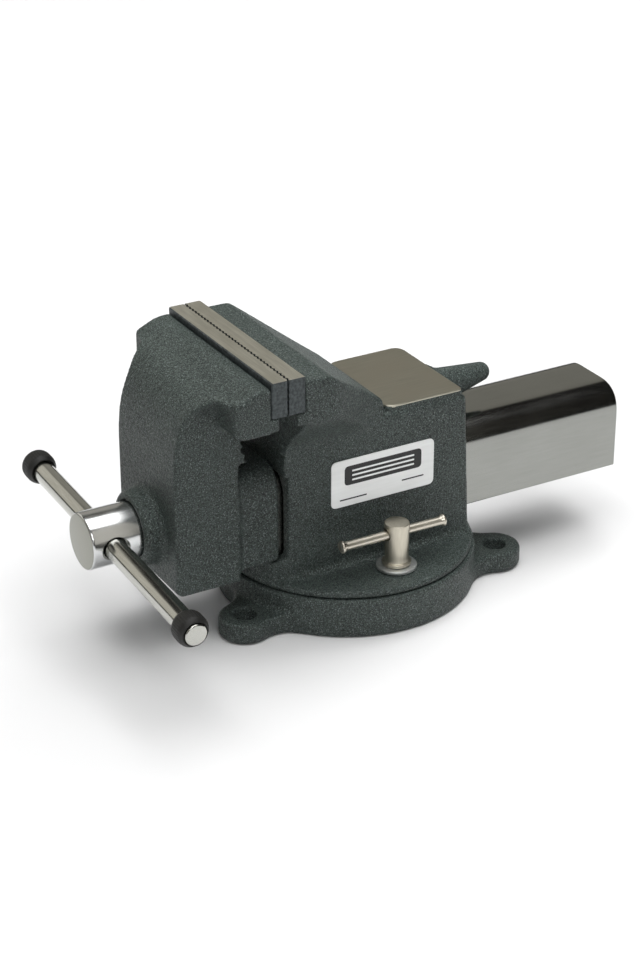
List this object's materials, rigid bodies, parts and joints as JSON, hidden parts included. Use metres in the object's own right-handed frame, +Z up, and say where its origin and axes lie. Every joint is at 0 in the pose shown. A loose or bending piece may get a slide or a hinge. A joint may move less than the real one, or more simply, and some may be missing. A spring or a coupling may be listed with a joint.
{
  "type": "bench vise",
  "caption": "Bench vise on a swivel base: charcoal cast body with anvil and horn, sliding front jaw on a steel bar, screw spindle with a sliding tommy bar, two swivel locks.",
  "frame": {"origin": "on the swivel axis, at the base's underside, where it meets the bench", "axes": "-Y is the front, where the spindle's handle is; +Y is the back, where the slide bar comes out; +X is the operator's right, the side with the label; +Z is up"},
  "size_m": [0.1786, 0.2805, 0.135],
  "materials": {
    "casting": "hammered charcoal paint",
    "ground_steel": "ground on top, painted at the ends",
    "bright_steel": "polished",
    "bar_steel": "drawn bright bar",
    "dark_steel": "blackened",
    "nickel": "satin nickel plate",
    "zinc": "zinc plate",
    "bare_iron": "machined, oiled",
    "rubber": "moulded",
    "foil": "silver foil plate"
  },
  "bodies": {
    "base": {"swivel_base": "casting"},
    "body": {"vise_body": "casting", "label_plate": "foil", "static_jaw_plate": "ground_steel", "static_plate_screw_left": "dark_steel", "static_plate_screw_right": "dark_steel", "lead_nut": "bare_iron", "lead_nut_bolt": "dark_steel", "lock_washer_left": "zinc", "lock_washer_right": "zinc", "clamp_nut_left": "dark_steel", "clamp_nut_right": "dark_steel"},
    "front_jaw": {"moving_jaw": "casting", "moving_jaw_plate": "ground_steel", "moving_plate_screw_left": "dark_steel", "moving_plate_screw_right": "dark_steel", "slide_bar": "bar_steel", "slide_bar_pin_front": "dark_steel", "slide_bar_pin_rear": "dark_steel", "thrust_washer": "zinc"},
    "screw": {"spindle": "bright_steel", "spindle_collar": "dark_steel", "collar_pin": "dark_steel"},
    "handle": {"tommy_bar": "bright_steel", "tommy_cap_left": "rubber", "tommy_cap_right": "rubber"},
    "lock_left": {"lock_screw_left": "nickel"},
    "lock_right": {"lock_screw_right": "nickel"},
    "lock_handle_left": {"lock_bar_left": "nickel"},
    "lock_handle_right": {"lock_bar_right": "nickel"}
  },
  "joints": [
    {"name": "base_swivel", "type": "hinge", "parent": "base", "child": "body", "pos_m": [0, 0, 0.019], "axis": [0, 0, 1], "continuous": true},
    {"name": "jaw_slide", "type": "slide", "parent": "body", "child": "front_jaw", "axis": [0, -1, 0], "range_m": [0, 0.1]},
    {"name": "spindle_turn", "type": "hinge", "parent": "front_jaw", "child": "screw", "pos_m": [0, -0.1, 0.0535], "axis": [0, -1, 0], "range_deg": [-1, 7201]},
    {"name": "tommy_bar_slide", "type": "slide", "parent": "screw", "child": "handle", "axis": [0.9982, 0, -0.0593], "range_m": [-0.065, 0.051]},
    {"name": "lock_left_turn", "type": "hinge", "parent": "body", "child": "lock_left", "pos_m": [-0.04291, 0.0028, 0.03], "axis": [0, 0, 1], "range_deg": [-20, 20]},
    {"name": "lock_bar_left_slide", "type": "slide", "parent": "lock_left", "child": "lock_handle_left", "axis": [0, 1, 0], "range_m": [-0.0168, 0.0212]},
    {"name": "lock_right_turn", "type": "hinge", "parent": "body", "child": "lock_right", "pos_m": [0.04291, 0.0028, 0.03], "axis": [0, 0, 1], "range_deg": [-20, 20]},
    {"name": "lock_bar_right_slide", "type": "slide", "parent": "lock_right", "child": "lock_handle_right", "axis": [0, -1, 0], "range_m": [-0.0212, 0.0168]}
  ],
  "couplings": [
    {"joint": "spindle_turn", "follows": "jaw_slide", "rad_per_m": 1256.6}
  ]
}
